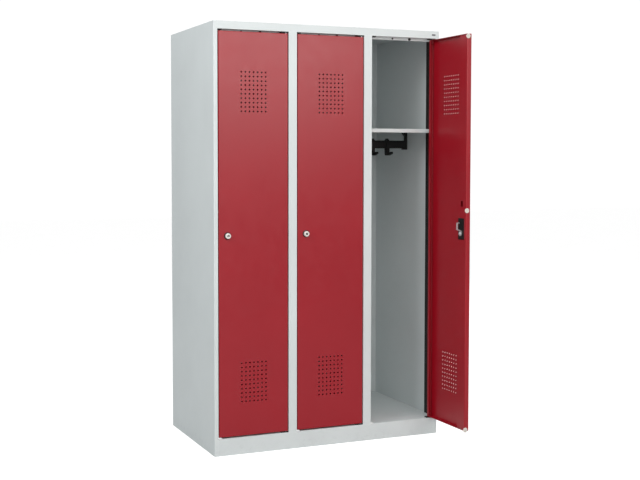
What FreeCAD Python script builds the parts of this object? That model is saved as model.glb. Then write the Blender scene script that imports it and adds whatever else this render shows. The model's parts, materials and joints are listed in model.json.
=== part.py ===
"""School locker: a three-compartment sheet-steel cabinet with full-height hinged doors.

The frame's origin is the centre of the footprint on the floor. +Z is up, the doors face -Y
and +X is to the right of someone who stands in front. All sizes are in millimetres.
"""
import FreeCAD, Part
import math
import os

from FreeCAD import Vector

# Cabinet
WIDTH, DEPTH, HEIGHT = 880.0, 500.0, 1500.0
SHEET = 1.0                     # thickness of all the folded sheets
BEND = 2.5                      # outside radius of a visible fold
COMPARTMENTS = 3
SIDE_MARGIN = 14.0              # front face of each side panel
POST_WIDTH = 31.0               # front face of each post between two doors
TOP_RAIL = 27.0                 # height of the rail above the doors
PLINTH = 60.0                   # height of the plinth, which is also the floor level inside
RETURN = 33.0                   # depth of the flanges round each opening
RAIL_LIP, RAIL_HEM = 22.0, 10.0 # depth of the top rail's lower flange, and its upturned rear hem
BASE_RING = (20.0, 2.0)         # width and thickness of the ring that the cabinet stands on

# Doors
DOOR_GAP = 3.0                  # beside a closed door
TOP_GAP, BOTTOM_GAP = 6.5, 5.0  # above and below a closed door
DOOR_THICK = 18.0
DOOR_RETURN = 12.0              # inward flanges at the back of the door's long edges
PIVOT = 6.0                     # hinge axis, from the door's edge and from its front face
PIN_RADIUS, SHOULDER_RADIUS = 3.0, 4.6
BUSH_RADIUS = 4.5
BUSH_PLATE = (28.0, 15.0, 3.8)  # moulded plate of each hinge bush, against the flange
PIN_RUN = 0.05                  # radial running clearance of a pin in its bush
PIN_REACH, PIN_TAIL = 14.0, 5.0     # how far a pin stands out of the door, and into it
SHOULDER_LENGTH = 8.0
BUSH_SLEEVE = 10.0
OPEN_ANGLE = 91.0               # the right-hand door stands open by this much
STIFFENER, STIFFENER_FOOT = 48.0, 12.0  # channel behind the lock edge, and its welding foot
STIFFENER_SLOT = (13.0, 20.0)   # slot through the channel, above the lock
SLOT_START, SLOT_BOTTOM = 23.0, 861.0   # the slot from the door's free edge, and its lower end
FOLD_CLEAR = 0.1                # play between an inner piece and the inside of a fold
VENT_PITCH, VENT_RADIUS = 15.0, 3.0
VENT_COLUMNS, VENT_ROWS = 7, 10
VENT_CENTRES = (252.5, 1261.0)  # heights of the two vent fields
BUFFER_RADIUS, BUFFER_THICK = 8.5, 2.0
BUFFER_SET_BACK = 14.6          # buffer centre behind the door's front face
BUFFER_DROP = 4.5               # the lowest buffer hangs below the door as a glide
BUFFER_MIDDLE = 848.0           # height of the middle buffer
BUFFER_EDGE = 0.9               # rounding of its rim
BUFFER_DIMPLE = (2.5, 0.9)      # radius and depth

# Lock
LOCK_HEIGHT = 765.0
LOCK_INSET = 32.0               # lock axis from the door's free edge
ROSETTE_RADIUS, ROSETTE_THICK = 12.5, 2.0
BARREL_RADIUS, CORE_BORE = 9.0, 6.5
CORE_RUN = 0.05
CORE_HEAD_RADIUS, CORE_HEAD_REACH = 9.5, 10.0
HEAD_EDGE, ROSETTE_EDGE = 1.2, 1.0
HEAD_CLEAR = 0.3                # between the turning head and the rosette
KEYWAY = (1.6, 7.0, 4.0)        # width, height and depth
KEY_RECESS = (4.4, 0.9)         # radius and depth of the recess round the keyway
CASE_COVER = (37.5, 1.5, 76.0)  # flat cover of the lock case, on the stiffener
COVER_EDGE = 0.8
CASE_BODY = (33.0, 12.0, 70.0)  # body of the lock case, inside the stiffener
CASE_START, CASE_TOP = 12.5, 820.0  # cover's near edge from the door's free edge, and its top
CAM_THICK, CAM_WIDTH, CAM_TIP_WIDTH = 2.0, 14.0, 7.0
CAM_REACH, CAM_CLEAR = 39.5, 0.6    # length from the axis, and the gap behind the post's flange
CORE_STEP = 0.4                 # the cam's shoulder stands this far off the case
CORE_SQUARE = 8.0
CAM_CRANK = (8.5, 15.0)         # where the crank starts and ends, above the axis
CAM_HOOK = 8.0                  # depth of the bent end
SCREW_RADIUS, SCREW_LENGTH = 2.5, 9.0
SCREW_FLANGE = (8.0, 1.6)       # radius and thickness
SCREW_HEAD = (5.2, 3.0)
SCREW_EDGE = 0.8

# Fittings
SHELF_TOP = 1141.0
SHELF_EDGE, SHELF_HEM = 14.0, 10.0
SHELF_BEND = 1.8
SHELF_SETBACK = 41.0
COAT_RAIL_SETBACK, COAT_RAIL_HEIGHT = 225.0, 1085.5
COAT_RAIL_SIZE = (12.0, 30.5)   # depth and height of the oval rail
BRACKET_WIDTH, BRACKET_DEPTH = 9.6, 14.0
BRACKET_CLEAR = 9.7             # between a bracket and the wall
BRACKET_FOOT, BRACKET_CRADLE = 11.0, 8.0    # how far the foot and the cradle reach inwards
BRACKET_EDGE = 2.0
FOOT_THICK, FOOT_GUSSET = 9.0, 22.0     # at the foot's tip, and at the leg
CRADLE_WALL, CRADLE_SIDE = 4.5, 2.0     # under the rail, and beyond the leg on each side
CRADLE_DROP = 5.0               # the cradle's top below the rail's axis
HOOKS = 3
HOOK_PITCH, HOOK_OFFSET = 62.5, -14.0
HOOK_WIDTH, HOOK_TIP_WIDTH = 13.0, 8.0
HOOK_WALL, HOOK_PLAY = 3.5, 0.5
HOOK_BOTTOM, HOOK_REACH = 1043.0, 43.0
HOOK_BACK, HOOK_FRONT = 9.0, 10.0   # stem behind and in front of the rail's axis
HOOK_RISE = 36.0                # top of the stem, inside the strap
HOOK_TIP = (6.5, 15.0, 3.6)     # underside and top of the tip above the hook's lowest point, rounding
HOOK_CREST = (9.5, 8.0, 3.4)    # clip on top of the strap: width, depth and height
CREST_EDGE = 1.2
STOP_DROP = 9.6                 # door stop below the top rail
STOP_OFFSETS = (-37.5, 32.5)    # plug and button, from the middle of the opening
STOP_HOLE, STOP_STUD = 3.0, 2.0
STOP_SOLE = 10.0
PAD_EDGE = 0.8
STOP_BUTTON = (4.6, 3.2, 1.2)   # radius, thickness and rounding of the rubber button
STOP_PLUG = (3.6, 1.2, 0.5)     # the same of the flat plug in the other hole
SEAL_SIZE = (3.0, 37.5)         # thickness and depth of the black strip on the hinge side
SEAL_SETBACK = 50.0
CORNER_SLOT = (17.0, 26.0)      # drain slot in the plinth flange beside each lock edge
CORNER_PAD = (17.0, 18.0, 4.0)  # rubber pad under the rail beside each lock edge
NOTCH_RISE = (8.0, 26.0)        # lock notch in a flange, above the lock axis
NOTCH_DEPTH = 10.0
FIXING_SPACING = (600.0, 1200.0)
FIXING_RADIUS, FIXING_CENTRE = 4.5, 780.0
NAME_PLATE = (15.0, 0.6, 6.0)
PLATE_INSET = (9.0, 14.0)       # its centre from the last opening's edge and from the top
PLATE_EDGE = 0.25

FRONT, BACK = -DEPTH / 2, DEPTH / 2
LEFT, RIGHT = -WIDTH / 2, WIDTH / 2
OPENING_TOP = HEIGHT - TOP_RAIL
OPENING_WIDTH = (WIDTH - 2 * SIDE_MARGIN - (COMPARTMENTS - 1) * POST_WIDTH) / COMPARTMENTS
DOOR_BOTTOM, DOOR_TOP = PLINTH + BOTTOM_GAP, OPENING_TOP - TOP_GAP
X_AXIS, Y_AXIS, Z_AXIS = Vector(1, 0, 0), Vector(0, 1, 0), Vector(0, 0, 1)


def box(x, y, z):
    """A block between two values on each axis."""
    low = Vector(min(x), min(y), min(z))
    return Part.makeBox(max(x) - low.x, max(y) - low.y, max(z) - low.z, low)


def setback(distance):
    """The y of a plane that far behind the cabinet's front."""
    return FRONT + distance


def rod(radius, start, end):
    """A round bar between two points."""
    along = end - start
    return Part.makeCylinder(radius, along.Length, start, along)


def join(shapes):
    """One solid from several that touch or overlap."""
    return shapes[0].multiFuse(shapes[1:]).removeSplitter()


def group(solids):
    """Several separate solids in one node."""
    return Part.makeCompound(solids)


def fold_edges(shape, radius, direction, places):
    """Round the edges that run along a direction through the given points."""
    chosen = []
    for edge in shape.Edges:
        ends = [v.Point for v in edge.Vertexes]
        if len(ends) != 2 or (ends[1] - ends[0]).cross(direction).Length > 1e-6:
            continue
        for place in places:
            gap = (ends[0] - place).cross(direction).Length
            if gap < 1e-4:
                chosen.append(edge)
    return shape.makeFillet(radius, chosen)


def round_rim(shape, radius, axis, level):
    """Round the edges whose middle lies at a level along an axis."""
    chosen = [e for e in shape.Edges if abs(e.CenterOfMass.dot(axis) - level) < 1e-3]
    return shape.makeFillet(radius, chosen)


def save(name, shape):
    shape.exportStep(os.path.join("parts", name + ".step"))


def opening_left(index):
    """Left edge of a door opening."""
    return LEFT + SIDE_MARGIN + index * (OPENING_WIDTH + POST_WIDTH)


def opening_right(index):
    return opening_left(index) + OPENING_WIDTH


def partition_centre(index):
    """Centre of the wall between a compartment and the next one."""
    return opening_right(index) + POST_WIDTH / 2


def compartment_span(index):
    """Clear width between the walls of a compartment."""
    low = LEFT + SHEET if index == 0 else partition_centre(index - 1) + SHEET / 2
    high = RIGHT - SHEET if index == COMPARTMENTS - 1 else partition_centre(index) - SHEET / 2
    return low, high


# ---- Cabinet ----

def side_panel(side):
    """Side wall, front margin and opening flange, folded from one sheet. side is -1 or 1."""
    outer = side * WIDTH / 2
    inner = side * (WIDTH / 2 - SIDE_MARGIN)
    wall = box((outer, outer - side * SHEET), (FRONT, BACK), (0, HEIGHT))
    margin = box((outer, inner), (FRONT, setback(SHEET)), (0, HEIGHT))
    flange = box((inner, inner + side * SHEET), (FRONT, setback(RETURN)), (0, HEIGHT - SHEET))
    folded = fold_edges(join([wall, margin, flange]), BEND, Z_AXIS, [Vector(outer, FRONT, 0)])
    return folded.cut(lock_notch(0)) if side < 0 else folded


def lock_notch(index):
    """Notch in the flange beside a lock, which lets the cam's bent end swing through."""
    x = opening_left(index)
    z = (LOCK_HEIGHT + NOTCH_RISE[0], LOCK_HEIGHT + NOTCH_RISE[1])
    return box((x - 2 * SHEET, x + SHEET), (setback(RETURN - NOTCH_DEPTH), setback(RETURN + SHEET)), z)


def corner_slot(index):
    """Slot through the plinth's flange, at the lock side of an opening."""
    wide, deep = CORNER_SLOT
    x, z = opening_left(index), PLINTH
    return box((x, x + wide), (setback(2 * SHEET), setback(SHEET + deep)), (z - 2 * SHEET, z + SHEET))


def top_rail():
    """Rail above the doors, with the flange that holds the upper hinge bushes."""
    span = (opening_left(0), opening_right(COMPARTMENTS - 1))
    rear = setback(RAIL_LIP)
    web = box(span, (FRONT, setback(SHEET)), (OPENING_TOP, HEIGHT))
    flange = box(span, (FRONT, rear), (OPENING_TOP, OPENING_TOP + SHEET))
    lip = box(span, (rear - SHEET, rear), (OPENING_TOP, OPENING_TOP + RAIL_HEM))
    return join([web, flange, lip]).cut([bush_hole(index, OPENING_TOP) for index in range(COMPARTMENTS)])


def plinth_front():
    """Plinth with the deep top flange that holds the lower hinge bushes."""
    span = (opening_left(0), opening_right(COMPARTMENTS - 1))
    web = box(span, (FRONT, setback(SHEET)), (0, PLINTH))
    flange = box(span, (FRONT, setback(RETURN)), (PLINTH - SHEET, PLINTH))
    holes = []
    for index in range(COMPARTMENTS):
        holes += [bush_hole(index, PLINTH - SHEET), corner_slot(index)]
    return join([web, flange]).cut(holes)


def post(index):
    """Channel between two openings."""
    left, right = opening_right(index), opening_left(index + 1)
    height = (PLINTH, OPENING_TOP)
    web = box((left, right), (FRONT, setback(SHEET)), height)
    flanges = [box((x, x + SHEET), (FRONT, setback(RETURN)), height) for x in (left, right - SHEET)]
    return join([web] + flanges).cut(lock_notch(index + 1))


def partition(index):
    """Flat wall between two compartments, notched at the top behind the rail."""
    centre = partition_centre(index)
    across = (centre - SHEET / 2, centre + SHEET / 2)
    rear = box(across, (setback(RAIL_LIP), BACK - SHEET), (PLINTH, HEIGHT - SHEET))
    nose = box(across, (setback(SHEET), setback(RAIL_LIP)), (PLINTH, OPENING_TOP))
    return join([rear, nose])


def top_panel():
    return box((LEFT + SHEET, RIGHT - SHEET), (FRONT + SHEET, BACK - SHEET), (HEIGHT - SHEET, HEIGHT))


def floor_tray():
    return box((LEFT + SHEET, RIGHT - SHEET), (setback(RETURN), BACK - SHEET), (PLINTH - SHEET, PLINTH))


def back_panel():
    """Rear wall with four holes for fixing the cabinet to a wall."""
    sheet = box((LEFT + SHEET, RIGHT - SHEET), (BACK - SHEET, BACK), (0, HEIGHT))
    across, up = FIXING_SPACING
    holes = []
    for x in (-across / 2, across / 2):
        for z in (FIXING_CENTRE - up / 2, FIXING_CENTRE + up / 2):
            holes.append(rod(FIXING_RADIUS, Vector(x, BACK - 2 * SHEET, z), Vector(x, BACK + SHEET, z)))
    return sheet.cut(holes)


def base_ring():
    """Flat ring inside the foot of the cabinet, which rests on the floor."""
    wide, thick = BASE_RING
    x, y = RIGHT - SHEET, BACK - SHEET
    # the side panels' front flanges stand inside the ring's front corners
    front = FRONT + RETURN
    plate = box((-x, x), (front, y), (0, thick))
    tongue = box((opening_left(0), opening_right(COMPARTMENTS - 1)), (FRONT + SHEET, front), (0, thick))
    inside = box((-x + wide, x - wide), (FRONT + SHEET + wide, y - wide), (0, thick))
    return join([plate, tongue]).cut(inside)


def door_stops():
    """One strip behind the top edge of each door, with a hole for its button and one for its plug."""
    strips = []
    for index in range(COMPARTMENTS):
        left, right = opening_left(index), opening_right(index)
        front = setback(RAIL_LIP)
        lowest, highest = OPENING_TOP - STOP_DROP, OPENING_TOP + RAIL_HEM
        strip = box((left, right), (front, front + SHEET), (lowest, highest))
        sole = box((left, right), (front, front + STOP_SOLE), (lowest, lowest + SHEET))
        studs = [stop_stud(index, STOP_OFFSETS[0], STOP_HOLE), stop_stud(index, STOP_OFFSETS[1], STOP_STUD)]
        strips.append(join([strip, sole]).cut(studs))
    return group(strips)


def stop_stud(index, offset, radius):
    """Round bar through a door stop, at an offset from the middle of the opening."""
    x = (opening_left(index) + opening_right(index)) / 2 + offset
    z = OPENING_TOP - STOP_DROP / 2
    return rod(radius, Vector(x, setback(RAIL_LIP), z), Vector(x, setback(RAIL_LIP) + SHEET, z))


def stop_buffers():
    """Rubber button and plug in each door stop, and a rubber pad in the corner above each lock edge."""
    pieces = []
    for index in range(COMPARTMENTS):
        pieces.append(stop_cap(index, STOP_OFFSETS[1], STOP_STUD, STOP_BUTTON))
        pieces.append(stop_cap(index, STOP_OFFSETS[0], STOP_HOLE, STOP_PLUG))
        pieces.append(corner_pad(index))
    return group(pieces)


def stop_cap(index, offset, stud_radius, size):
    """Rounded head on the front of a door stop, with its stud in the hole."""
    radius, thick, edge = size
    stud = stop_stud(index, offset, stud_radius)
    centre = stud.CenterOfMass
    face = Vector(centre.x, setback(RAIL_LIP), centre.z)
    head = rod(radius, face - Y_AXIS * thick, face)
    return join([round_rim(head, edge, Y_AXIS, face.y - thick), stud])


def corner_pad(index):
    wide, deep, thick = CORNER_PAD
    x, y = opening_left(index), setback(2 * SHEET)
    pad = box((x, x + wide), (y, y + deep), (OPENING_TOP - thick, OPENING_TOP))
    return round_rim(pad, PAD_EDGE, Z_AXIS, OPENING_TOP - thick)


def hinge_point(index, z):
    """Point on a door's hinge axis."""
    return Vector(opening_right(index) - DOOR_GAP - PIVOT, setback(PIVOT), z)


def bush_hole(index, z):
    start = hinge_point(index, z - SHEET)
    return rod(BUSH_RADIUS, start, start + Z_AXIS * 3 * SHEET)


def hinge_bushes():
    """Moulded bush above and below each door: a plate against the flange and a sleeve through it."""
    bushes = []
    wide, deep, thick = BUSH_PLATE
    for index in range(COMPARTMENTS):
        right = opening_right(index)
        for level, up in ((OPENING_TOP, 1), (PLINTH, -1)):
            plate = box((right - wide, right), (setback(2 * SHEET), setback(2 * SHEET + deep)),
                        (level, level - up * thick))
            sleeve_end = hinge_point(index, level + up * BUSH_SLEEVE)
            sleeve = rod(BUSH_RADIUS, hinge_point(index, level), sleeve_end)
            ends = [hinge_point(index, level + side * 2 * BUSH_SLEEVE) for side in (-1, 1)]
            bore = rod(PIN_RADIUS + PIN_RUN, *ends)
            bushes.append(join([plate, sleeve]).cut(bore))
    return group(bushes)


def hat_shelf(index):
    """Shelf across a compartment, with folded front and rear edges."""
    span = compartment_span(index)
    front = setback(SHELF_SETBACK)
    under = SHELF_TOP - SHELF_EDGE
    plate = box(span, (front, BACK - SHEET), (SHELF_TOP - SHEET, SHELF_TOP))
    nose = box(span, (front, front + SHEET), (under, SHELF_TOP))
    hem = box(span, (front, front + SHELF_HEM), (under, under + SHEET))
    tail = box(span, (BACK - 2 * SHEET, BACK - SHEET), (under, SHELF_TOP))
    shelf = join([plate, nose, hem, tail])
    return fold_edges(shelf, SHELF_BEND, X_AXIS, [Vector(0, front, SHELF_TOP), Vector(0, front, under)])


def oval(deep, high, x0, x1):
    """Bar along X with a rounded-end section."""
    y, z = setback(COAT_RAIL_SETBACK), COAT_RAIL_HEIGHT
    flat = high / 2 - deep / 2
    bar = box((x0, x1), (y - deep / 2, y + deep / 2), (z - flat, z + flat))
    ends = [rod(deep / 2, Vector(x0, y, z + s * flat), Vector(x1, y, z + s * flat)) for s in (-1, 1)]
    return join([bar] + ends)


def coat_rail(index):
    low, high = compartment_span(index)
    inset = BRACKET_CLEAR + BRACKET_WIDTH
    return oval(*COAT_RAIL_SIZE, low + inset, high - inset)


def rail_brackets():
    """Two hangers for each coat rail: a leg with a foot under the shelf and a cradle round the rail."""
    brackets = []
    rail_y = setback(COAT_RAIL_SETBACK)
    y = (rail_y - BRACKET_DEPTH / 2, rail_y + BRACKET_DEPTH / 2)
    top = SHELF_TOP - SHEET
    bottom = COAT_RAIL_HEIGHT - COAT_RAIL_SIZE[1] / 2 - CRADLE_WALL
    for index in range(COMPARTMENTS):
        for wall, inward in zip(compartment_span(index), (1, -1)):
            start = wall + inward * BRACKET_CLEAR
            inner = start + inward * BRACKET_WIDTH
            leg = box((start, inner), y, (bottom, top))
            leg = leg.makeFillet(BRACKET_EDGE, [e for e in leg.Edges if e.CenterOfMass.z < top - 1])
            foot = bracket_foot(inner, inward, y, top)
            end = inner + inward * BRACKET_CRADLE
            cradle = box((inner - inward, end), (y[0] - CRADLE_SIDE, y[1] + CRADLE_SIDE),
                         (bottom, COAT_RAIL_HEIGHT - CRADLE_DROP))
            low, high = min(inner, end + inward), max(inner, end + inward)
            brackets.append(join([leg, foot, cradle]).cut(oval(*COAT_RAIL_SIZE, low, high)))
    return group(brackets)


def bracket_foot(inner, inward, y, top):
    """Gusseted foot of a bracket, which is screwed under the shelf."""
    tip = inner + inward * BRACKET_FOOT
    outline = [(inner - inward, top), (tip, top), (tip, top - FOOT_THICK), (inner, top - FOOT_GUSSET),
               (inner - inward, top - FOOT_GUSSET)]
    points = [Vector(x, y[0], z) for x, z in outline]
    return Part.Face(Part.makePolygon(points + points[:1])).extrude(Y_AXIS * (y[1] - y[0]))


def hook_centre(index, place):
    """Middle of a hook along its rail."""
    middle = (opening_left(index) + opening_right(index)) / 2
    return middle + HOOK_OFFSET + (place - 1) * HOOK_PITCH


def hook(index, place):
    """Moulded coat hook: a strap round the rail, a stem and a prong that reaches forward."""
    x = hook_centre(index, place)
    deep, high = COAT_RAIL_SIZE
    outer = 2 * (HOOK_WALL + HOOK_PLAY)
    strap = oval(deep + outer, high + outer, x - HOOK_WIDTH / 2, x + HOOK_WIDTH / 2)
    cavity = oval(deep + 2 * HOOK_PLAY, high + 2 * HOOK_PLAY, x - HOOK_WIDTH, x + HOOK_WIDTH)
    return join([strap, hook_stem(x), hook_crest(x)]).cut(cavity)


def hook_crest(x):
    """Raised clip on top of a hook's strap."""
    wide, deep, rise = HOOK_CREST
    y = setback(COAT_RAIL_SETBACK)
    level = COAT_RAIL_HEIGHT + COAT_RAIL_SIZE[1] / 2 + HOOK_PLAY
    top = level + HOOK_WALL + rise
    crest = box((x - wide / 2, x + wide / 2), (y - deep / 2, y + deep / 2), (level, top))
    return round_rim(crest, CREST_EDGE, Z_AXIS, top)


def hook_stem(x):
    """The hook below its strap: a side outline, rounded at its corners and tapered towards the tip."""
    def place(forward, up):
        """Point in front of the rail's axis and above the hook's lowest point."""
        return Vector(x - HOOK_WIDTH / 2, setback(COAT_RAIL_SETBACK) - forward, HOOK_BOTTOM + up)

    low, high, blunt = HOOK_TIP
    heel, toe, crook = place(3 - HOOK_BACK, 0), place(HOOK_FRONT + 4, 0), place(HOOK_FRONT, low + 1)
    tips = [place(HOOK_REACH, low), place(HOOK_REACH, high)]
    points = [place(-HOOK_BACK, HOOK_RISE), heel, toe] + tips + [crook, place(HOOK_FRONT, HOOK_RISE)]
    outline = Part.Face(Part.makePolygon(points + points[:1]))
    stem = outline.extrude(X_AXIS * HOOK_WIDTH)
    for radius, corners in ((8.0, [heel]), (20.0, [toe]), (5.0, [crook]), (blunt, tips)):
        stem = fold_edges(stem, radius, X_AXIS, corners)
    return stem.common(hook_plan(x))


def hook_plan(x):
    """Block with the hook's outline from above, which narrows the prong."""
    rail_y = setback(COAT_RAIL_SETBACK)
    wide, narrow = HOOK_WIDTH / 2, HOOK_TIP_WIDTH / 2
    outline = [(wide, HOOK_BACK + 3), (wide, -HOOK_FRONT - 4), (narrow, -HOOK_REACH - 1)]
    points = [Vector(x + half, rail_y + y, HOOK_BOTTOM - 1) for half, y in outline]
    points += [Vector(x - half, rail_y + y, HOOK_BOTTOM - 1) for half, y in reversed(outline)]
    return Part.Face(Part.makePolygon(points + points[:1])).extrude(Z_AXIS * (HOOK_RISE + 4))


def hinge_side_seals():
    """Dark strip on the wall beside each hinge, above and below the shelf."""
    strips = []
    thick, deep = SEAL_SIZE
    for index in range(COMPARTMENTS):
        wall = compartment_span(index)[1]
        for z in ((PLINTH, SHELF_TOP - SHELF_EDGE), (SHELF_TOP, HEIGHT - SHEET)):
            strip = box((wall - thick, wall), (setback(SEAL_SETBACK), setback(SEAL_SETBACK + deep)), z)
            strips.append(strip)
    return group(strips)


def name_plate():
    """Small blank plate on the top rail."""
    wide, thick, high = NAME_PLATE
    x, z = opening_right(COMPARTMENTS - 1) - PLATE_INSET[0], HEIGHT - PLATE_INSET[1]
    plate = box((x - wide / 2, x + wide / 2), (FRONT - thick, FRONT), (z - high / 2, z + high / 2))
    return round_rim(plate, PLATE_EDGE, Y_AXIS, FRONT - thick)


# ---- Doors, modelled shut ----

def door_right(index):
    return opening_right(index) - DOOR_GAP


def door_left(index):
    return opening_left(index) + DOOR_GAP


def door_panel(index):
    """Folded pan with rounded edges, inward flanges along its long edges and two vent fields."""
    x = (door_left(index), door_right(index))
    shell = box(x, (FRONT, setback(DOOR_THICK)), (DOOR_BOTTOM, DOOR_TOP))
    shell = round_pan(shell, BEND)
    inside = box((x[0] + SHEET, x[1] - SHEET), (setback(SHEET), setback(DOOR_THICK - SHEET)),
                 (DOOR_BOTTOM + SHEET, DOOR_TOP - SHEET))
    inside = round_pan(inside, BEND - SHEET)
    mouth = box((x[0] + DOOR_RETURN, x[1] - DOOR_RETURN),
                (setback(DOOR_THICK - 2 * SHEET), setback(DOOR_THICK + SHEET)),
                (DOOR_BOTTOM + SHEET, DOOR_TOP - SHEET))
    pan = shell.cut([inside, mouth])
    pins = [rod(PIN_RADIUS, hinge_point(index, z - PIN_TAIL), hinge_point(index, z + PIN_TAIL))
            for z in (DOOR_BOTTOM, DOOR_TOP)]
    barrel = rod(BARREL_RADIUS, lock_point(index, -SHEET), lock_point(index, 3 * SHEET))
    return pan.cut(vent_holes(index) + pins + [barrel])


def round_pan(block, radius):
    """Round a pan-shaped block's front edges and its four upright edges."""
    front, middle = block.BoundBox.YMin, block.BoundBox.Center
    chosen = []
    for edge in block.Edges:
        centre = edge.CenterOfMass
        upright = abs(centre.z - middle.z) < 1
        if centre.y < front + 1 or upright:
            chosen.append(edge)
    return block.makeFillet(radius, chosen)


def vent_holes(index):
    """Square fields of round holes, one high and one low."""
    middle = (door_left(index) + door_right(index)) / 2
    holes = []
    for centre in VENT_CENTRES:
        for column in range(VENT_COLUMNS):
            x = middle + (column - (VENT_COLUMNS - 1) / 2) * VENT_PITCH
            for row in range(VENT_ROWS):
                z = centre + (row - (VENT_ROWS - 1) / 2) * VENT_PITCH
                holes.append(rod(VENT_RADIUS, Vector(x, FRONT - 1, z), Vector(x, setback(3 * SHEET), z)))
    return holes


def door_stiffener(index):
    """Channel along the lock edge, inside the pan, which carries the lock."""
    clear = BEND + FOLD_CLEAR
    left, edge = door_left(index) + clear, door_left(index) + STIFFENER
    height = (DOOR_BOTTOM + clear, DOOR_TOP - clear)
    rear = setback(DOOR_THICK - SHEET)
    web = box((left, edge), (rear - SHEET, rear), height)
    leg = box((edge - SHEET, edge), (setback(SHEET), rear), height)
    foot = box((edge, edge + STIFFENER_FOOT), (setback(SHEET), setback(2 * SHEET)), height)
    start = door_left(index) + SLOT_START
    slot = box((start, start + STIFFENER_SLOT[0]), (rear - 2 * SHEET, rear + SHEET),
               (SLOT_BOTTOM, SLOT_BOTTOM + STIFFENER_SLOT[1]))
    return join([web, leg, foot]).cut([slot, case_body(index)])


def hinge_pins(index):
    """Shouldered pin at the top and the bottom of the door."""
    pins = []
    for level, up in ((DOOR_TOP, 1), (DOOR_BOTTOM, -1)):
        tail, tip = level - up * (SHEET + PIN_TAIL), level + up * PIN_REACH
        top = level - up * (BEND + FOLD_CLEAR)
        base = top - up * SHOULDER_LENGTH
        shank = rod(PIN_RADIUS, hinge_point(index, tail), hinge_point(index, tip))
        shoulder = rod(SHOULDER_RADIUS, hinge_point(index, base), hinge_point(index, top))
        pins.append(join([shoulder, shank]))
    return group(pins)


def edge_buffers(index):
    """Round white buffers on the door's free edge; each rim stands proud of the back of the door."""
    x, y = door_left(index), setback(BUFFER_SET_BACK)
    discs = []
    for z in (DOOR_BOTTOM + BUFFER_RADIUS - BUFFER_DROP, BUFFER_MIDDLE, DOOR_TOP - BUFFER_RADIUS):
        face = Vector(x - BUFFER_THICK, y, z)
        disc = rod(BUFFER_RADIUS, face, Vector(x, y, z))
        dimple = rod(BUFFER_DIMPLE[0], face - X_AXIS, face + X_AXIS * BUFFER_DIMPLE[1])
        discs.append(round_rim(disc, BUFFER_EDGE, X_AXIS, face.x).cut(dimple))
    return group(discs)


# ---- Lock, modelled unlocked with its cam upright ----

def lock_point(index, depth):
    """Point on the lock's axis, that far behind the door's front face."""
    return Vector(door_left(index) + LOCK_INSET, setback(depth), LOCK_HEIGHT)


def lock_housing(index):
    """Rosette and barrel fixed in the door, bored for the core."""
    rosette = rod(ROSETTE_RADIUS, lock_point(index, -ROSETTE_THICK), lock_point(index, 0))
    rosette = round_rim(rosette, ROSETTE_EDGE, Y_AXIS, setback(-ROSETTE_THICK))
    barrel = rod(BARREL_RADIUS, lock_point(index, 0), lock_point(index, case_front()))
    bore = rod(CORE_BORE, lock_point(index, -2 * ROSETTE_THICK), lock_point(index, DOOR_THICK))
    return join([rosette, barrel]).cut(bore)


def case_front():
    return DOOR_THICK - SHEET - CASE_BODY[1]


def case_rear():
    return DOOR_THICK - SHEET + CASE_COVER[1]


def case_body(index):
    """Block of the lock case inside the stiffener, centred behind the cover."""
    wide, _, high = CASE_BODY
    x, z = door_left(index) + CASE_START + 0.5, CASE_TOP - CASE_COVER[2] / 2
    y = (setback(case_front()), setback(DOOR_THICK - SHEET))
    return box((x, x + wide), y, (z - high / 2, z + high / 2))


def lock_case(index):
    """Body inside the stiffener, and its flat cover, which guide the core."""
    wide, _, high = CASE_COVER
    x, face = door_left(index) + CASE_START, setback(case_rear())
    cover = box((x, x + wide), (setback(DOOR_THICK - SHEET), face), (CASE_TOP - high, CASE_TOP))
    cover = round_rim(cover, COVER_EDGE, Y_AXIS, face)
    bore = rod(CORE_BORE, lock_point(index, case_front() - 1), lock_point(index, case_rear() + 1))
    return join([cover, case_body(index)]).cut(bore)


def lock_core(index):
    """Turning core: key face, shank and a square end for the cam."""
    head_back = -ROSETTE_THICK - HEAD_CLEAR
    head = rod(CORE_HEAD_RADIUS, lock_point(index, -CORE_HEAD_REACH), lock_point(index, head_back))
    head = round_rim(head, HEAD_EDGE, Y_AXIS, setback(-CORE_HEAD_REACH))
    end = cam_front()
    shank = rod(CORE_BORE - CORE_RUN, lock_point(index, head_back), lock_point(index, end))
    half = CORE_SQUARE / 2
    centre = lock_point(index, 0)
    square = box((centre.x - half, centre.x + half), (setback(end), setback(end + CAM_THICK)),
                 (centre.z - half, centre.z + half))
    wide, high, deep = KEYWAY
    keyway = box((centre.x - wide / 2, centre.x + wide / 2),
                 (setback(-CORE_HEAD_REACH - 1), setback(deep - CORE_HEAD_REACH)),
                 (centre.z - high / 2, centre.z + high / 2))
    face = lock_point(index, -CORE_HEAD_REACH)
    recess = rod(KEY_RECESS[0], face - Y_AXIS, face + Y_AXIS * KEY_RECESS[1])
    tapped = rod(SCREW_RADIUS, lock_point(index, end + CAM_THICK - SCREW_LENGTH - 1),
                 lock_point(index, end + CAM_THICK + 1))
    return join([head, shank, square]).cut([keyway, recess, tapped])


def cam_front():
    return case_rear() + CORE_STEP


def lock_cam(index):
    """Cranked steel cam, upright when unlocked, which turns behind the flange of the post."""
    centre = lock_point(index, 0)
    near, far = cam_front(), RETURN + CAM_CLEAR
    root = rod(CAM_WIDTH / 2, lock_point(index, near), lock_point(index, near + CAM_THICK))
    blade = cam_blade(centre, near, far)
    narrow, wide = CAM_TIP_WIDTH / 2, CAM_WIDTH
    depth = (setback(near - 1), setback(far + 2 * CAM_THICK))
    height = (centre.z + CAM_CRANK[1], centre.z + 2 * CAM_REACH)
    sides = [box((centre.x + side * narrow, centre.x + side * wide), depth, height) for side in (-1, 1)]
    square = CORE_SQUARE / 2
    hole = box((centre.x - square, centre.x + square), (setback(near - 1), setback(near + CAM_THICK + 1)),
               (centre.z - square, centre.z + square))
    return join([root, blade]).cut(sides + [hole])


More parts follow.
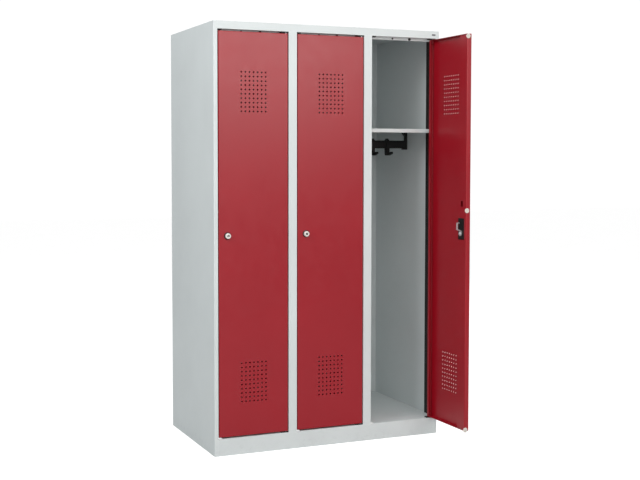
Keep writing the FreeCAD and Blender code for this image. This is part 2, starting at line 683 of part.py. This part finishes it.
def cam_blade(centre, near, far):
    """The cam's side outline, from its root past the crank to the bent end, as wide as its root."""
    low, high = CAM_CRANK
    turn = CAM_THICK - 0.2
    inner = CAM_REACH - CAM_THICK
    outline = [(near, 0), (near + CAM_THICK, 0), (near + CAM_THICK, low), (far + CAM_THICK, high),
               (far + CAM_THICK, CAM_REACH), (far - CAM_HOOK, CAM_REACH), (far - CAM_HOOK, inner),
               (far, inner), (far, high + turn), (near, low + turn)]
    x = centre.x - CAM_WIDTH / 2
    points = [Vector(x, setback(depth), centre.z + rise) for depth, rise in outline]
    return Part.Face(Part.makePolygon(points + points[:1])).extrude(X_AXIS * CAM_WIDTH)


def cam_screw(index):
    """Flanged screw that holds the cam on the core."""
    face = cam_front() + CAM_THICK
    seat = face + SCREW_FLANGE[1]
    top = seat + SCREW_HEAD[1]
    flange = rod(SCREW_FLANGE[0], lock_point(index, face), lock_point(index, seat))
    head = rod(SCREW_HEAD[0], lock_point(index, seat), lock_point(index, top))
    head = round_rim(head, SCREW_EDGE, Y_AXIS, setback(top))
    shank = rod(SCREW_RADIUS, lock_point(index, face - SCREW_LENGTH), lock_point(index, face))
    return join([flange, head, shank])


def save_door(index):
    """Write one door's parts. The right-hand door is turned open about its hinge."""
    number = str(index + 1)
    makers = {"door_panel": door_panel, "door_stiffener": door_stiffener, "hinge_pins": hinge_pins,
              "edge_buffers": edge_buffers, "lock_housing": lock_housing, "lock_case": lock_case,
              "lock_core": lock_core, "lock_cam": lock_cam, "cam_screw": cam_screw}
    for name, make in makers.items():
        shape = make(index)
        if index == COMPARTMENTS - 1:
            shape.rotate(hinge_point(index, 0), Z_AXIS, OPEN_ANGLE)
        save(name + "_" + number, shape)


def main():
    os.makedirs("parts", exist_ok=True)
    save("side_panel_left", side_panel(-1))
    save("side_panel_right", side_panel(1))
    save("top_panel", top_panel())
    save("back_panel", back_panel())
    save("floor_tray", floor_tray())
    save("base_ring", base_ring())
    save("top_rail", top_rail())
    save("plinth_front", plinth_front())
    for index in range(COMPARTMENTS - 1):
        save("post_" + str(index + 1), post(index))
        save("partition_" + str(index + 1), partition(index))
    save("door_stops", door_stops())
    save("stop_buffers", stop_buffers())
    save("hinge_bushes", hinge_bushes())
    save("hinge_side_seals", hinge_side_seals())
    save("rail_brackets", rail_brackets())
    save("name_plate", name_plate())
    for index in range(COMPARTMENTS):
        number = str(index + 1)
        save("hat_shelf_" + number, hat_shelf(index))
        save("coat_rail_" + number, coat_rail(index))
        for place in range(HOOKS):
            save("hook_" + number + "_" + str(place + 1), hook(index, place))
        save_door(index)


main()
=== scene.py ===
"""Looks of the school locker: materials, small detail pieces, studio light and camera."""
import bpy
import bmesh
import json
import math
from mathutils import Matrix, Vector


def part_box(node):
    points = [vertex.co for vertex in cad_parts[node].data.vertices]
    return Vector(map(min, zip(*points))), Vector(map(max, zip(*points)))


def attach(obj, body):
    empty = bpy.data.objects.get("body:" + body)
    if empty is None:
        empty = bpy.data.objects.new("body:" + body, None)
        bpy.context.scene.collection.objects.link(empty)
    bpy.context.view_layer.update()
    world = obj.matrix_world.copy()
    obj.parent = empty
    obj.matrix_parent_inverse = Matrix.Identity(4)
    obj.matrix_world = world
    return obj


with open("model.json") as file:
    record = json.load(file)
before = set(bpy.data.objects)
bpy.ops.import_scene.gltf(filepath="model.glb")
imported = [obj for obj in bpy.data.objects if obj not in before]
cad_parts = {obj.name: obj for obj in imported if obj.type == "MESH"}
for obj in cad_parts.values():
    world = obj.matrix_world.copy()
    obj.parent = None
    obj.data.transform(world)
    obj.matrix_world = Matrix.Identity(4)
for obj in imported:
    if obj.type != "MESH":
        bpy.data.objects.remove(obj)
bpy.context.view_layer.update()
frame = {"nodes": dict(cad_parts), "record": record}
NODES = frame["nodes"]
RECORD = frame["record"]
JOINTS = {joint["name"]: joint for joint in RECORD["behaviour"]["joints"]}
DOORS = (1, 2, 3)
UP = Vector((0, 0, 1))


# ---- Node helpers ----

# how closely the bevelled and the plain normal agree on a flat face, and on a sharp corner
FLAT_MATCH, CORNER_MATCH = 0.999, 0.86
EDGE_SAMPLES = 4


class Shader:
    """A material under construction, with short calls for the nodes it uses."""

    def __init__(self, name):
        self.material = bpy.data.materials.new(name)
        self.material.use_nodes = True
        self.tree = self.material.node_tree
        self.tree.nodes.clear()
        self.surface = self.add("ShaderNodeBsdfPrincipled")
        output = self.add("ShaderNodeOutputMaterial")
        self.link(self.surface.outputs["BSDF"], output.inputs["Surface"])
        self.place = self.add("ShaderNodeTexCoord").outputs["Object"]

    def add(self, kind, **settings):
        node = self.tree.nodes.new(kind)
        for key, value in settings.items():
            setattr(node, key, value)
        return node

    def link(self, output, socket):
        self.tree.links.new(output, socket)

    def noise(self, scale, detail=2.0, rough=0.5, place=None):
        node = self.add("ShaderNodeTexNoise")
        node.inputs["Scale"].default_value = scale
        node.inputs["Detail"].default_value = detail
        node.inputs["Roughness"].default_value = rough
        self.link(place or self.place, node.inputs["Vector"])
        return node.outputs["Fac"]

    def cells(self, scale):
        node = self.add("ShaderNodeTexVoronoi", feature="F1")
        node.inputs["Scale"].default_value = scale
        self.link(self.place, node.inputs["Vector"])
        return node.outputs["Distance"]

    def stretch(self, scale):
        node = self.add("ShaderNodeMapping")
        node.inputs["Scale"].default_value = scale
        self.link(self.place, node.inputs["Vector"])
        return node.outputs["Vector"]

    def span(self, value, low, high, to_low=0.0, to_high=1.0):
        node = self.add("ShaderNodeMapRange")
        limits = {"From Min": low, "From Max": high, "To Min": to_low, "To Max": to_high}
        for key, number in limits.items():
            node.inputs[key].default_value = number
        self.link(value, node.inputs["Value"])
        return node.outputs["Result"]

    def math(self, operation, a, b):
        node = self.add("ShaderNodeMath", operation=operation)
        for socket, value in zip(node.inputs, (a, b)):
            if isinstance(value, (int, float)):
                socket.default_value = value
            else:
                self.link(value, socket)
        return node.outputs["Value"]

    def mix(self, amount, low, high):
        node = self.add("ShaderNodeMix", data_type="RGBA")
        self.link(amount, node.inputs["Factor"])
        for key, value in (("A", low), ("B", high)):
            socket = [s for s in node.inputs if s.name == key and s.type == "RGBA"][0]
            if isinstance(value, (tuple, list)):
                socket.default_value = (*value, 1.0)
            else:
                self.link(value, socket)
        return [s for s in node.outputs if s.type == "RGBA"][0]

    def edges(self, radius):
        """About 0 on flat faces, rising towards 1 where a sheet turns a corner."""
        bevel = self.add("ShaderNodeBevel", samples=EDGE_SAMPLES)
        bevel.inputs["Radius"].default_value = radius
        geometry = self.add("ShaderNodeNewGeometry")
        dot = self.add("ShaderNodeVectorMath", operation="DOT_PRODUCT")
        self.link(bevel.outputs["Normal"], dot.inputs[0])
        self.link(geometry.outputs["Normal"], dot.inputs[1])
        return self.span(dot.outputs["Value"], FLAT_MATCH, CORNER_MATCH)

    def height(self):
        node = self.add("ShaderNodeSeparateXYZ")
        self.link(self.place, node.inputs["Vector"])
        return node.outputs["Z"]

    def colour(self, output):
        self.link(output, self.surface.inputs["Base Color"])

    def roughness(self, output):
        self.link(output, self.surface.inputs["Roughness"])

    def bumps(self, *layers):
        """Each layer is (height output, distance in metres, strength)."""
        normal = None
        for output, distance, strength in layers:
            bump = self.add("ShaderNodeBump")
            bump.inputs["Distance"].default_value = distance
            bump.inputs["Strength"].default_value = strength
            self.link(output, bump.inputs["Height"])
            if normal is not None:
                self.link(normal, bump.inputs["Normal"])
            normal = bump.outputs["Normal"]
        self.link(normal, self.surface.inputs["Normal"])

    def fixed(self, **values):
        for key, value in values.items():
            self.surface.inputs[key.replace("_", " ")].default_value = value


def shade(colour, factor):
    return tuple(min(1.0, channel * factor) for channel in colour)


# ---- Materials ----

PAINT_EDGE, PLASTIC_EDGE = 0.0012, 0.0008      # radius over which an edge shows wear
SCUFF_TOP = 0.05                               # scuffs fade out at this height


def powder_coat(name, colour, edge_colour, gloss, shine):
    """Powder paint on sheet steel: orange peel, a faint ripple, thin edges and floor scuffs."""
    s = Shader(name)
    cloud = s.span(s.noise(4.0, 3.0), 0.3, 0.7)
    body = s.mix(cloud, shade(colour, 0.965), shade(colour, 1.03))
    fleck = s.span(s.noise(900.0, 2.0), 0.62, 0.75, 0.0, 0.35)
    body = s.mix(fleck, body, shade(colour, 1.12))
    patchy = s.span(s.noise(60.0, 4.0, 0.7), 0.42, 0.62, 0.25, 0.8)
    body = s.mix(s.math("MULTIPLY", s.edges(PAINT_EDGE), patchy), body, edge_colour)
    low = s.span(s.height(), SCUFF_TOP, 0.0)
    streaks = s.span(s.noise(70.0, 6.0, 0.75), 0.5, 0.72, 0.0, 0.3)
    scuff = s.math("MULTIPLY", low, streaks)
    body = s.mix(scuff, body, shade(colour, 0.55))
    s.colour(body)
    rough = s.span(s.noise(25.0, 4.0, 0.6), 0.25, 0.75, gloss - 0.035, gloss + 0.045)
    s.roughness(s.math("ADD", rough, s.math("MULTIPLY", scuff, 0.3)))
    s.bumps((s.noise(2.2, 1.0), 0.004, 0.05), (s.noise(420.0, 2.0, 0.55), 0.0004, 0.10),
            (s.cells(1500.0), 0.0001, 0.12))
    s.fixed(Specular_IOR_Level=shine)
    return s.material


def moulded_black(name, colour, gloss):
    """Moulded plastic with a fine spark-eroded grain and paler rubbed edges."""
    s = Shader(name)
    body = s.mix(s.span(s.noise(30.0, 3.0), 0.3, 0.7), shade(colour, 0.8), shade(colour, 1.35))
    rubbed = s.math("MULTIPLY", s.edges(PLASTIC_EDGE), 0.5)
    body = s.mix(rubbed, body, shade(colour, 4.0))
    s.colour(body)
    s.roughness(s.span(s.noise(80.0, 4.0), 0.3, 0.7, gloss - 0.07, gloss + 0.07))
    s.bumps((s.cells(1800.0), 0.00012, 0.35), (s.noise(300.0, 3.0), 0.0001, 0.2))
    s.fixed(Specular_IOR_Level=0.3)
    return s.material


def rubber(name, colour):
    """Matt black rubber with a fine grain and pale dusty patches."""
    s = Shader(name)
    body = s.mix(s.span(s.noise(120.0, 5.0), 0.35, 0.7), colour, shade(colour, 2.0))
    s.colour(body)
    s.roughness(s.span(s.noise(200.0, 4.0), 0.3, 0.7, 0.62, 0.85))
    s.bumps((s.noise(1400.0, 3.0), 0.00015, 0.5))
    return s.material


def nylon(name, colour):
    """Translucent off-white nylon with faint flow clouding and handled edges."""
    s = Shader(name)
    body = s.mix(s.span(s.noise(90.0, 3.0), 0.3, 0.7), shade(colour, 0.93), shade(colour, 1.05))
    handled = s.math("MULTIPLY", s.edges(PLASTIC_EDGE), 0.35)
    body = s.mix(handled, body, shade(colour, 0.72))
    s.colour(body)
    s.roughness(s.span(s.noise(250.0, 4.0), 0.3, 0.7, 0.36, 0.5))
    s.bumps((s.noise(700.0, 3.0), 0.0001, 0.25))
    s.fixed(Subsurface_Weight=0.12, Subsurface_Scale=0.002)
    return s.material


def plated_metal(name, colour, dark, gloss, brush, wear, metallic=1.0):
    """Plated metal with directional polish marks, cloudy plating and fine grime."""
    s = Shader(name)
    clouds = s.span(s.noise(140.0, 4.0, 0.6), 0.3, 0.7)
    body = s.mix(clouds, shade(colour, 0.9), shade(colour, 1.08))
    grime = s.span(s.noise(500.0, 5.0, 0.7), 0.55, 0.8, 0.0, wear)
    body = s.mix(grime, body, dark)
    s.colour(body)
    lines = s.noise(1.0, 3.0, 0.6, s.stretch(brush))
    s.roughness(s.span(lines, 0.25, 0.75, gloss - 0.07, gloss + 0.1))
    s.bumps((lines, 0.00005, 0.35), (s.noise(900.0, 3.0), 0.00004, 0.2))
    s.fixed(Metallic=metallic)
    return s.material


def painted_pin(name, paint, steel):
    """Hinge pin: painted with the door between the door's ends, bare zinc beyond them."""
    s = Shader(name)
    low, high = (corner[2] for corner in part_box("door_panel_1"))
    height = s.height()
    above, below = s.math("GREATER_THAN", height, low), s.math("LESS_THAN", height, high)
    inside = s.math("MULTIPLY", above, below)
    clouds = s.span(s.noise(300.0, 4.0), 0.3, 0.7)
    bare = s.mix(clouds, shade(steel, 0.85), shade(steel, 1.1))
    s.colour(s.mix(inside, bare, paint))
    s.link(s.math("SUBTRACT", 1.0, inside), s.surface.inputs["Metallic"])
    s.roughness(s.span(s.noise(160.0, 4.0), 0.3, 0.7, 0.34, 0.5))
    s.bumps((s.noise(700.0, 3.0), 0.00005, 0.3))
    return s.material


def studio_floor():
    """Pale paper that glows for the camera alone, so that it runs into the white backdrop."""
    s = Shader("studio_floor")
    s.colour(s.mix(s.span(s.noise(3.0, 4.0), 0.3, 0.7), (0.48,) * 3, (0.52,) * 3))
    s.roughness(s.span(s.noise(9.0, 3.0), 0.3, 0.7, 0.6, 0.75))
    s.fixed(Emission_Color=(1.0, 1.0, 1.0, 1.0))
    seen = s.add("ShaderNodeLightPath").outputs["Is Camera Ray"]
    s.link(s.math("MULTIPLY", seen, FLOOR_GLOW), s.surface.inputs["Emission Strength"])
    return s.material


FLOOR_GLOW = 0.78               # strength of the floor's glow towards the camera
GREY = (0.662, 0.714, 0.72)
RED = (0.325, 0.0015, 0.0105)
ZINC = (0.74, 0.75, 0.76)

RED_EDGE = (0.42, 0.03, 0.045)
NICKEL, NICKEL_GRIME = (0.90, 0.88, 0.84), (0.5, 0.47, 0.43)
# the darker nickel is near-black plating, which on the key plugs is also painted shade for the
# key face's recess
DARK_NICKEL_AND_SHADE, DARK_GRIME = (0.045, 0.042, 0.04), (0.02, 0.018, 0.017)
ZINC_GRIME = (0.42, 0.41, 0.38)

FINISHES = {
    "grey_powder_coat": (powder_coat, dict(colour=GREY, edge_colour=shade(GREY, 1.25),
                                           gloss=0.42, shine=0.38)),
    "red_powder_coat": (powder_coat, dict(colour=RED, edge_colour=RED_EDGE,
                                          gloss=0.32, shine=0.62)),
    "black_plastic": (moulded_black, dict(colour=(0.0045, 0.0052, 0.0052), gloss=0.48)),
    "black_rubber": (rubber, dict(colour=(0.012, 0.012, 0.012))),
    "white_nylon": (nylon, dict(colour=(0.70, 0.66, 0.60))),
    "nickel_plate": (plated_metal, dict(colour=NICKEL, dark=NICKEL_GRIME, gloss=0.28,
                                        brush=(60, 60, 900), wear=0.3, metallic=0.35)),
    "dark_nickel": (plated_metal, dict(colour=DARK_NICKEL_AND_SHADE, dark=DARK_GRIME, gloss=0.38,
                                       brush=(900, 60, 60), wear=0.6)),
    "zinc_steel": (plated_metal, dict(colour=ZINC, dark=ZINC_GRIME, gloss=0.34,
                                      brush=(60, 60, 700), wear=0.4, metallic=0.7)),
    "blank_plate": (moulded_black, dict(colour=(0.15, 0.155, 0.16), gloss=0.4)),
}
MATERIALS = {slot: finish(slot, **looks) for slot, (finish, looks) in FINISHES.items()}
PIN_MATERIAL = painted_pin("painted_pin", RED, ZINC)


def dress_cad_nodes():
    """Give each CAD node the material of its slot, and the hinge pins their own."""
    slots = {part["node"]: part["material_slot"] for part in RECORD["subparts"]}
    for name, node in NODES.items():
        pin = name.startswith("hinge_pins")
        node.data.materials.clear()
        node.data.materials.append(PIN_MATERIAL if pin else MATERIALS[slots[name]])


# ---- Detail pieces ----

PLUG_RADIUS, PLUG_THICK, PLUG_EDGE = 0.0041, 0.0007, 0.00015
BEVEL_SEGMENTS = 3
KEY_SLOT_HALF = 0.0009          # half of the keyway's width
RECESS_DEPTH = 0.0009           # the plug lies in a recess in the key face
ARC_STEPS = 24


def solid_plate(name, outline, thick):
    """Flat plate in the XY plane with the given outline, rising along +Z."""
    mesh = bmesh.new()
    face = mesh.faces.new([mesh.verts.new((x, y, 0.0)) for x, y in outline])
    raised = bmesh.ops.extrude_face_region(mesh, geom=[face])["geom"]
    top = [part for part in raised if isinstance(part, bmesh.types.BMVert)]
    bmesh.ops.translate(mesh, vec=(0, 0, thick), verts=top)
    bmesh.ops.recalc_face_normals(mesh, faces=mesh.faces)
    data = bpy.data.meshes.new(name)
    mesh.to_mesh(data)
    mesh.free()
    return add_piece(name, data)


def add_piece(name, data):
    piece = bpy.data.objects.new(name, data)
    bpy.context.scene.collection.objects.link(piece)
    return piece


def add_bevel(piece, width):
    bevel = piece.modifiers.new("edges", "BEVEL")
    bevel.width, bevel.segments, bevel.limit_method = width, BEVEL_SEGMENTS, "ANGLE"


def key_plugs():
    """Turned plug in each key face, in two halves beside the keyway; its near-black plating is
    partly painted shade for the key face's recess.
    """
    reach = JOINTS["lock_1_turn"]["pos_m"][1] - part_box("lock_core_1")[0][1]
    limit = math.acos(KEY_SLOT_HALF / PLUG_RADIUS)
    angles = [limit * (2 * step / ARC_STEPS - 1) for step in range(ARC_STEPS + 1)]
    for door in DOORS:
        joint = JOINTS[f"lock_{door}_turn"]
        axis, centre = Vector(joint["axis"]), Vector(joint["pos_m"])
        turn = Matrix((UP.cross(axis), UP, axis)).transposed().to_4x4()
        place = Matrix.Translation(centre + axis * (reach - RECESS_DEPTH)) @ turn
        for side, half in ((1, "right"), (-1, "left")):
            radius = side * PLUG_RADIUS
            outline = [(radius * math.cos(angle), radius * math.sin(angle)) for angle in angles]
            piece = solid_plate(f"key_plug_{door}_{half}", outline, PLUG_THICK)
            piece.data.transform(place)
            # near-black plating on the plug: partly painted shade for the key face's recess
            piece.data.materials.append(MATERIALS["dark_nickel"])
            add_bevel(piece, PLUG_EDGE)
            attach(piece, f"lock_{door}")


VENT_RADIUS, VENT_PITCH = 0.0030, 0.015
VENT_COLUMNS, VENT_ROWS = 7, 10
VENT_HEIGHTS = (0.2525, 1.261)  # middles of the two vent fields
COLLAR_START = 0.0009           # depth behind the door's front
COLLAR_STEPS = 14
# radius, and depth behind the door's front, round the section of a collar
COLLAR_SECTION = ((VENT_RADIUS, COLLAR_START), (0.0029, 0.0024), (0.0030, 0.0026),
                  (0.0032, 0.0025), (0.0036, COLLAR_START))


def vent_centres():
    """Yield each vent's distance across the door from its middle, and its height."""
    for height in VENT_HEIGHTS:
        for column in range(VENT_COLUMNS):
            for row in range(VENT_ROWS):
                yield ((column - (VENT_COLUMNS - 1) / 2) * VENT_PITCH,
                       height + (row - (VENT_ROWS - 1) / 2) * VENT_PITCH)


def collar_mesh(name, middle, front):
    """Every drawn collar of one shut door, whose middle and front face are given."""
    points, faces = [], []
    ring = len(COLLAR_SECTION)
    for across, height in vent_centres():
        start = len(points)
        for step in range(COLLAR_STEPS):
            angle = 2 * math.pi * step / COLLAR_STEPS
            for radius, depth in COLLAR_SECTION:
                side, rise = radius * math.cos(angle), radius * math.sin(angle)
                points.append((middle + across + side, front + depth, height + rise))
        for step in range(COLLAR_STEPS):
            here, there = start + step * ring, start + (step + 1) % COLLAR_STEPS * ring
            for corner in range(ring):
                after = (corner + 1) % ring
                faces.append((here + corner, here + after, there + after, there + corner))
    data = bpy.data.meshes.new(name)
    data.from_pydata(points, [], faces)
    return data


def vent_collars():
    """Drawn collars behind the punched vent holes, one piece for each door."""
    low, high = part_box("door_panel_1")
    middle = (low[0] + high[0]) / 2
    first = JOINTS["door_1_hinge"]["pos_m"][0]
    for door in DOORS:
        hinge = JOINTS[f"door_{door}_hinge"]
        pivot = Vector(hinge["pos_m"])
        name = f"vent_collars_{door}"
        data = collar_mesh(name, middle + pivot.x - first, low[1])
        opened = Matrix.Rotation(math.radians(-min(hinge["range_deg"])), 4, "Z")
        data.transform(Matrix.Translation(pivot) @ opened @ Matrix.Translation(-pivot))
        data.materials.append(MATERIALS["red_powder_coat"])
        piece = add_piece(name, data)
        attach(piece, f"door_{door}")


# ---- Studio ----

FLOOR_SIZE = 30
SKY_LIGHT, BACKDROP_LIGHT = 0.38, 1.05          # the world as a light, and as the camera sees it
WARM, COOL = (1.0, 0.975, 0.95), (0.985, 0.995, 1.0)
# name, place, target, size in metres, watts, tint
LIGHTS = (
    ("front_high", (1.05, -3.85, 2.4), (0.0, 0.0, 1.05), 2.2, 54, WARM),
    ("steep_left", (-0.9, -2.5, 3.7), (0.2, 0.0, 0.6), 2.2, 28, WARM),
    ("front_low", (-0.9, -3.8, 1.1), (0.0, 0.0, 0.6), 2.0, 16, WARM),
    ("side_left", (-3.2, -1.2, 3.2), (0.0, 0.0, 1.1), 2.0, 74, COOL),
    ("front_left", (-2.2, -4.2, 2.4), (0.0, 0.0, 0.9), 2.4, 10, WARM),
    ("behind", (2.6, 3.4, 2.6), (0.0, 0.0, 0.8), 2.4, 60, COOL),
)


def studio():
    """Staged floor, white world and soft lights."""
    bpy.ops.mesh.primitive_plane_add(size=FLOOR_SIZE, location=(0, 0, 0))
    floor = bpy.context.object
    floor.name = "studio_floor"
    floor.data.materials.append(studio_floor())

    world = bpy.data.worlds.new("studio")
    bpy.context.scene.world = world
    world.use_nodes = True
    background = world.node_tree.nodes["Background"]
    background.inputs["Color"].default_value = (1.0, 1.0, 1.0, 1.0)
    seen = world.node_tree.nodes.new("ShaderNodeLightPath")
    brightness = world.node_tree.nodes.new("ShaderNodeMapRange")
    brightness.inputs["To Min"].default_value = SKY_LIGHT
    brightness.inputs["To Max"].default_value = BACKDROP_LIGHT
    world.node_tree.links.new(seen.outputs["Is Camera Ray"], brightness.inputs["Value"])
    world.node_tree.links.new(brightness.outputs["Result"], background.inputs["Strength"])

    for light in LIGHTS:
        soft_light(*light)


def soft_light(name, place, target, size, power, tint):
    """Square area light at a place, facing its target."""
    data = bpy.data.lights.new(name, "AREA")
    data.color = tint
    data.shape = "SQUARE"
    data.size = size
    data.energy = power
    light = bpy.data.objects.new(name, data)
    light.location = place
    light.rotation_euler = (Vector(target) - Vector(place)).to_track_quat("-Z", "Y").to_euler()
    bpy.context.scene.collection.objects.link(light)


CAMERA_PLACE = (-1.662, -3.833, 1.031)     # metres
CAMERA_TURN, CAMERA_TILT = -22.77, -2.92    # degrees, to the right and down
CAMERA_LENS, SENSOR = 62.21, 36.0           # millimetres
CAMERA_SHIFT = (0.0469, -0.0391)            # shares of the picture's width


def camera():
    """Camera about a metre above the floor, left of the front, turned right and a little down."""
    data = bpy.data.cameras.new("camera")
    data.sensor_width, data.lens = SENSOR, CAMERA_LENS
    data.shift_x, data.shift_y = CAMERA_SHIFT
    view = bpy.data.objects.new("camera", data)
    view.location = CAMERA_PLACE
    view.rotation_euler = (math.radians(90 + CAMERA_TILT), 0, math.radians(CAMERA_TURN))
    bpy.context.scene.collection.objects.link(view)
    bpy.context.scene.camera = view


dress_cad_nodes()
key_plugs()
vent_collars()
studio()
camera()
bpy.context.scene.view_settings.view_transform = "Standard"
